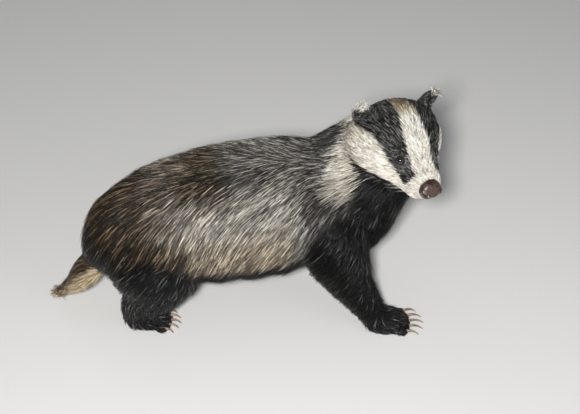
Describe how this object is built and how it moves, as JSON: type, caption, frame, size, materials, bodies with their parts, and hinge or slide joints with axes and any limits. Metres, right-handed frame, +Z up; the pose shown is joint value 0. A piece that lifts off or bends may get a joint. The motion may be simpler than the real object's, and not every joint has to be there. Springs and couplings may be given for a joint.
{
  "type": "european badger",
  "caption": "Life-size still model of a standing european badger with its head turned to its right, on four flat soles.",
  "frame": {"origin": "centre of the animal's box, on the floor under its soles", "axes": "+X forward along the body from tail to head, +Z up; the right flank faces -Y"},
  "size_m": [0.56, 0.2658, 0.3365],
  "materials": {
    "coat_grey": "long grizzled guard hair, silver grey to dark brown",
    "coat_black": "short glossy black hair of the legs, ears and underside",
    "coat_white": "short face hair, white with black stripes",
    "coat_buff": "long cream to buff tail hair",
    "nose_skin": "bare moist brown skin",
    "eye": "wet dark brown eye",
    "claw_horn": "pinkish tan horn"
  },
  "bodies": {
    "root": {"claw_fore_left_1": "claw_horn", "claw_fore_left_2": "claw_horn", "claw_fore_left_3": "claw_horn", "claw_fore_left_4": "claw_horn", "claw_fore_left_5": "claw_horn", "claw_fore_right_1": "claw_horn", "claw_fore_right_2": "claw_horn", "claw_fore_right_3": "claw_horn", "claw_fore_right_4": "claw_horn", "claw_fore_right_5": "claw_horn", "claw_hind_left_1": "claw_horn", "claw_hind_left_2": "claw_horn", "claw_hind_left_3": "claw_horn", "claw_hind_left_4": "claw_horn", "claw_hind_left_5": "claw_horn", "claw_hind_right_1": "claw_horn", "claw_hind_right_2": "claw_horn", "claw_hind_right_3": "claw_horn", "claw_hind_right_4": "claw_horn", "claw_hind_right_5": "claw_horn", "ear_left": "coat_black", "ear_right": "coat_black", "eye_left": "eye", "eye_right": "eye", "head": "coat_white", "leg_fore_left": "coat_black", "leg_fore_right": "coat_black", "leg_hind_left": "coat_black", "leg_hind_right": "coat_black", "neck": "coat_grey", "nose": "nose_skin", "paw_fore_left": "coat_black", "paw_fore_right": "coat_black", "paw_hind_left": "coat_black", "paw_hind_right": "coat_black", "tail": "coat_buff", "torso": "coat_grey"}
  },
  "joints": []
}
